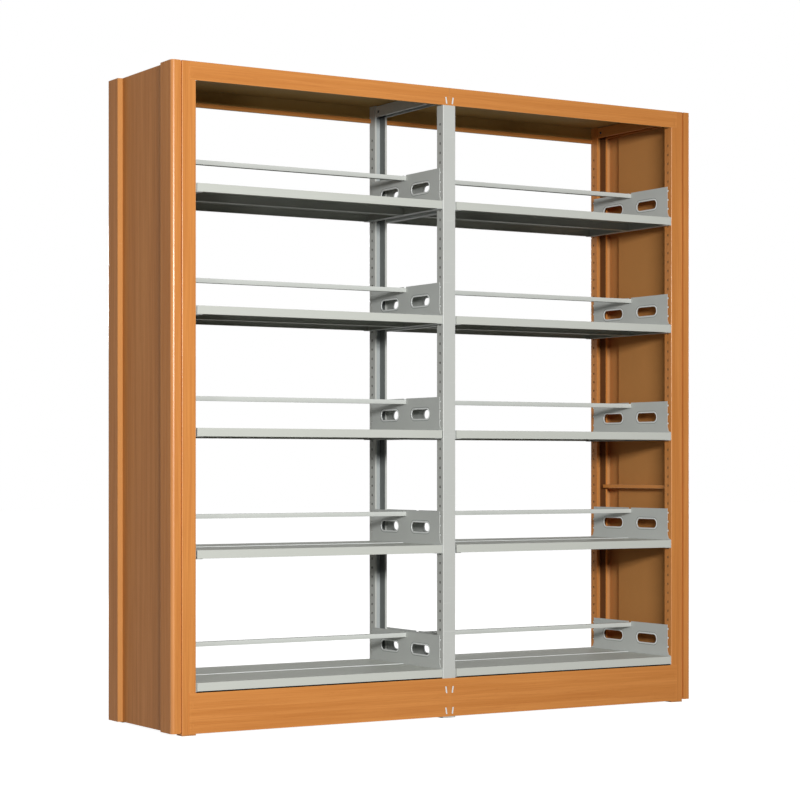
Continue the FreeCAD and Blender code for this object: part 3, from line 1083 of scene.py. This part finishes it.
@dataclass
class ShelfTier(SubAssembly):
    """One tier of one bay: two brackets, two shelf boards and the stop bar between them."""

    tier: int = 1
    bay: Bay = Bay.LEFT
    bracket_rise: float = 105 * MM
    window_length: float = 108 * MM
    window_height: float = 30 * MM
    window_centre: float = 94 * MM
    window_rise: float = 53 * MM
    rim_width: float = 4.6 * MM
    rim_lap: float = 0.4 * MM
    rim_proud: float = 1.1 * MM
    # shares of the rim's width and rise where it rolls over
    rim_shoulder: float = 0.6
    rim_tuck: float = 0.3
    # width of the dark ring round each rim, a painted shadow of a pressed groove
    groove_width: float = 2.2 * MM
    groove_proud: float = 0.1 * MM
    rim_steps: int = 10
    bead_width: float = 3.2 * MM
    bead_proud: float = 2.0 * MM
    bead_inset: float = 3 * MM
    bead_radius: float = 0.4 * 3.2 * MM
    hooks_per_end: int = 3
    hook_high: float = 6 * MM
    hook_wide: float = 4.4 * MM
    hook_reach: float = 5 * MM
    hook_drop: float = 1.0 * MM
    hook_edge: float = 0.7 * MM
    hook_row: float = 208.8 * MM
    hook_pitch: float = 30 * MM
    lowest_hook: float = 30.75 * MM
    sheet: float = 1.5 * MM

    @property
    def tag(self) -> str:
        """The tier's part of its nodes' names."""
        return f"tier_{self.tier}_{self.bay.value[0]}"

    def build(self) -> None:
        """Build and dress the tier."""
        brackets = f"{self.tag}_brackets"
        self.folded(brackets, self.palette.bracket, "bracket", trim=self.trim_brackets)
        for face in Face:
            board = f"{self.tag}_{face.value[0]}_board"
            self.folded(board, self.palette.shelf, "shelf", body=board)
        self.build_joint_bead()
        bar = f"{self.tag}_stop_bar"
        self.folded(bar, self.palette.bar, "stop_bar", body=bar, bend=Bend(outside=1.0 * MM))

    def build_joint_bead(self) -> None:
        """Build the raised bead along the rear board's inner edge, where the two boards meet, drawn
        pale as a painted highlight.
        """
        board = f"{self.tag}_rear_board"
        low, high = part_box(board)
        mesh = bmesh.new()
        near = Vector((low.x + self.bead_inset, low.y, high.z - self.sheet / 2))
        far = Vector((high.x - self.bead_inset, low.y + self.bead_width, high.z + self.bead_proud))
        add_box(mesh, near, far)
        bevel(mesh, edges_above(mesh, high.z), self.bead_radius)
        Piece(mesh, f"{board}_bead", [self.palette.highlight_coat]).ride(board)

    def trim_brackets(self, mesh: bmesh.types.BMesh) -> None:
        """Add the window rims and hook tabs to both brackets.

        Args:
            mesh: the brackets' mesh.
        """
        low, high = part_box(f"{self.tag}_brackets")
        shelf = high.z - self.bracket_rise
        for end, side in ((low.x, 1), (high.x, -1)):
            for face in Face:
                sign = face.value[1]
                middle = end + side * self.sheet / 2
                window = (middle, sign * self.window_centre, shelf + self.window_rise)
                self.add_rim(mesh, Vector(window))
                for step in range(self.hooks_per_end):
                    height = shelf + self.lowest_hook + step * self.hook_pitch
                    self.add_hook(mesh, Vector((end, sign * self.hook_row, height)), side)

    def add_rim(self, mesh: bmesh.types.BMesh, middle: Vector) -> None:
        """Add the rolled rim of one window, proud of both faces of the sheet, drawn pale as a painted
        highlight, in the dark painted shadow of a shallow groove.

        Args:
            mesh: mesh that takes the rim.
            middle: the window's centre in the middle of the sheet.
        """
        # for a bracket, the inside and punched places hold the pale painted highlight and the dark
        # painted groove shadow
        highlight_coat, groove_shadow = Coat.INSIDE.value, Coat.PUNCHED.value
        near = (
            (self.rim_width + self.groove_width, self.groove_proud, groove_shadow),
            (self.rim_width, self.groove_proud, highlight_coat),
            (self.rim_width * self.rim_shoulder, self.rim_proud, highlight_coat),
            (0.0, self.rim_proud, highlight_coat),
            (-self.rim_lap, self.rim_proud * self.rim_tuck, highlight_coat),
        )
        far = [(offset, -self.sheet - proud, coat) for offset, proud, coat in reversed(near)]
        # the last strip of the far side takes the painted shadow of the groove
        far[-2] = (*far[-2][:2], groove_shadow)
        ring = bmesh.new()
        before, coat = [], groove_shadow
        for offset, proud, next_coat in (*near, *far):
            x = -self.sheet / 2 - proud
            row = [ring.verts.new((x, y, z)) for y, z in self.window_outline(offset)]
            for here in range(len(row) if before else 0):
                face = ring.faces.new((before[here - 1], before[here], row[here], row[here - 1]))
                face.material_index = coat
            before, coat = row, next_coat
        bmesh.ops.translate(ring, verts=ring.verts, vec=middle)
        self.join(mesh, ring)

    def window_outline(self, offset: float) -> list[tuple[float, float]]:
        """Trace the obround of the window, widened by an offset.

        Args:
            offset: how far outside the window's edge the outline runs.

        Returns:
            Y and Z of its points, round its centre.
        """
        radius = self.window_height / 2
        straight = self.window_length / 2 - radius
        points = []
        for end in (1, -1):
            for step in range(self.rim_steps + 1):
                angle = math.pi * (step / self.rim_steps - 0.5)
                y = straight + (radius + offset) * math.cos(angle)
                points.append((end * y, end * (radius + offset) * math.sin(angle)))
        return points

    def add_hook(self, mesh: bmesh.types.BMesh, root: Vector, side: int) -> None:
        """Add one hook tab that passes through the post's hole and drops behind its flange.

        Args:
            mesh: mesh that takes the hook.
            root: the hole's centre on the flange's outer face.
            side: direction from the flange into the bay along X.
        """
        hook = bmesh.new()
        ends = sorted((-side * self.hook_reach, side * self.sheet))
        half = Vector((0, self.hook_wide, self.hook_high)) / 2
        tab = add_box(hook, Vector((ends[0], 0, 0)) - half, Vector((ends[1], 0, 0)) + half)
        for vertex in tab:
            if vertex.co.x * side < 0 and vertex.co.z < 0:
                vertex.co.z -= self.hook_drop
        bevel(hook, hook.edges[:], self.hook_edge, steps=1)
        # the hook tabs take the pale coat, a painted highlight
        for face in hook.faces:
            face.material_index = Coat.INSIDE.value
        bmesh.ops.translate(hook, verts=hook.verts, vec=root)
        self.join(mesh, hook)

    @staticmethod
    def join(mesh: bmesh.types.BMesh, part: bmesh.types.BMesh) -> None:
        """Add a part's geometry to a mesh and free the part.

        Args:
            mesh: mesh that grows.
            part: mesh that is added.
        """
        carried = bpy.data.meshes.new("carried")
        part.to_mesh(carried)
        part.free()
        mesh.from_mesh(carried)
        bpy.data.meshes.remove(carried)


# --- studio ----------------------------------------------------------------------------------


@dataclass(frozen=True)
class Viewpoint:
    """A level camera with a long lens, to the left of the front face."""

    place: tuple[float, float, float] = (-3.8060, -6.1442, 0.7920)
    yaw_degrees: float = 31.486
    focal_pixels: float = 2237.8
    horizon_pixels: float = 465.9
    image_pixels: float = 800.0
    sensor_width: float = 36.0
    farthest: float = 100.0

    def build(self) -> None:
        """Make the scene's camera."""
        lens = bpy.data.cameras.new("camera")
        lens.sensor_width = self.sensor_width
        lens.lens = self.focal_pixels * lens.sensor_width / self.image_pixels
        lens.shift_y = self.horizon_pixels / self.image_pixels - 0.5
        lens.clip_end = self.farthest
        camera = bpy.data.objects.new("camera", lens)
        camera.location = self.place
        camera.rotation_euler = (math.pi / 2, 0.0, -math.radians(self.yaw_degrees))
        bpy.context.scene.collection.objects.link(camera)
        bpy.context.scene.camera = camera


@dataclass(frozen=True)
class Softbox:
    """A rectangular soft light."""

    name: str
    place: tuple[float, float, float]
    target: tuple[float, float, float]
    width: float
    height: float
    watts: float

    def build(self) -> None:
        """Make the light, turned to its target."""
        lamp = bpy.data.lights.new(self.name, "AREA")
        lamp.shape = "RECTANGLE"
        lamp.size = self.width
        lamp.size_y = self.height
        lamp.energy = self.watts
        light = bpy.data.objects.new(self.name, lamp)
        light.location = self.place
        aim = Vector(self.target) - Vector(self.place)
        light.rotation_euler = aim.to_track_quat("-Z", "Y").to_euler()
        light.visible_camera = False
        bpy.context.scene.collection.objects.link(light)


@dataclass(frozen=True)
class Studio:
    """Plain pale floor and soft light."""

    ambient: str = "747474"
    floor_half: float = 30.0
    floor_lit: str = "5e5e5e"
    floor_seen: str = "bcbcbc"
    floor_glow: float = 0.95
    lights: tuple[Softbox, ...] = (
        Softbox("key", (-2.6, -6.6, 1.92), (-0.2, -0.2, 0.9), 2.4, 0.62, 425.0),
        Softbox("side_strip", (-2.8, -2.4, 1.3), (-0.96, -0.2, 1.1), 0.4, 1.9, 10.5),
        Softbox("rear_fill", (0.3, 6.6, 1.9), (0.0, 0.2, 0.9), 1.7, 0.62, 80.0),
        Softbox("right_fill", (3.6, 0.6, 1.5), (0.96, 0.0, 1.0), 0.6, 1.9, 26.0),
    )

    def build(self) -> None:
        """Make the floor, the surroundings and the lights."""
        self.build_world()
        self.build_floor()
        for light in self.lights:
            light.build()
        bpy.context.scene.view_settings.view_transform = "Standard"

    def build_world(self) -> None:
        """Make surroundings that light softly and look white."""
        world = bpy.data.worlds.new("studio")
        world.use_nodes = True
        tree = world.node_tree
        tree.nodes.clear()
        node = partial(add_node, tree)
        soft, white = (
            node("ShaderNodeBackground", {"Color": colour, "Strength": 1.0}).outputs[0]
            for colour in (linear(self.ambient), WHITE)
        )
        mix = node("ShaderNodeMixShader", {0: self.seen_rays(tree), 1: soft, 2: white})
        node("ShaderNodeOutputWorld", {"Surface": mix.outputs[0]})
        bpy.context.scene.world = world

    @staticmethod
    def seen_rays(tree: bpy.types.NodeTree) -> bpy.types.NodeSocket:
        """Tell apart the rays that show the surroundings from those that light the unit.

        Args:
            tree: node tree that takes the nodes.

        Returns:
            A socket that is 1 for camera, glossy and transmission rays.
        """
        path = add_node(tree, "ShaderNodeLightPath").outputs
        seen = path["Is Camera Ray"]
        for ray in ("Is Glossy Ray", "Is Transmission Ray"):
            either = {0: seen, 1: path[ray]}
            seen = add_node(tree, "ShaderNodeMath", either, operation="MAXIMUM").outputs[0]
        return seen

    def build_floor(self) -> None:
        """Make the floor, which looks white and keeps the unit's shadow."""
        mesh = bmesh.new()
        bmesh.ops.create_grid(mesh, x_segments=1, y_segments=1, size=self.floor_half)
        data = bpy.data.meshes.new("floor")
        mesh.to_mesh(data)
        mesh.free()
        floor = bpy.data.objects.new("floor", data)
        bpy.context.scene.collection.objects.link(floor)
        material, tree = new_material("matt_white_floor")
        node = partial(add_node, tree)
        matt, shaded = (
            node("ShaderNodeBsdfDiffuse", {"Color": linear(colour)}).outputs[0]
            for colour in (self.floor_lit, self.floor_seen)
        )
        glow = node("ShaderNodeEmission", {"Color": WHITE, "Strength": self.floor_glow}).outputs[0]
        bright = node("ShaderNodeAddShader", {0: shaded, 1: glow}).outputs[0]
        mix = node("ShaderNodeMixShader", {0: self.seen_rays(tree), 1: matt, 2: bright})
        node("ShaderNodeOutputMaterial", {"Surface": mix.outputs[0]})
        data.materials.append(material)


def main() -> None:
    """Build the dressed unit and its studio."""
    logging.basicConfig(level=logging.INFO, format="%(message)s")
    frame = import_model()
    Viewpoint().build()
    Studio().build()
    palette = Palette()
    nodes = frame["nodes"]
    Uprights(nodes, palette).build()
    Cladding(nodes, palette).build()
    for tier in range(1, TIERS + 1):
        for bay in Bay:
            ShelfTier(nodes, palette, tier=tier, bay=bay).build()


if __name__ == "__main__":
    main()
